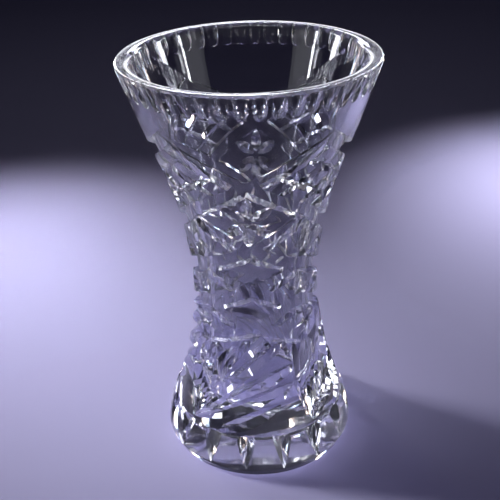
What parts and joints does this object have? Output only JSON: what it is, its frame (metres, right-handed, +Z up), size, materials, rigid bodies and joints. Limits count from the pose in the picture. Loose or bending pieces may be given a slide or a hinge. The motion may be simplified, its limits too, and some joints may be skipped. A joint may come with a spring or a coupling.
{
  "type": "cut crystal vase",
  "caption": "Waisted cut crystal vase with a flared fluted rim, crossing ribbon cuts, hatched diamonds, fan cuts and a notched foot.",
  "frame": {"origin": "centre of the flat underside of the foot", "axes": "+Z up along the vase's axis, -Y towards the middle of one repeat of the cut pattern, +X to its right"},
  "size_m": [0.1176, 0.1176, 0.203],
  "materials": {
    "lead_crystal": "polished"
  },
  "bodies": {
    "root": {"crystal_vase": "lead_crystal"}
  },
  "joints": []
}
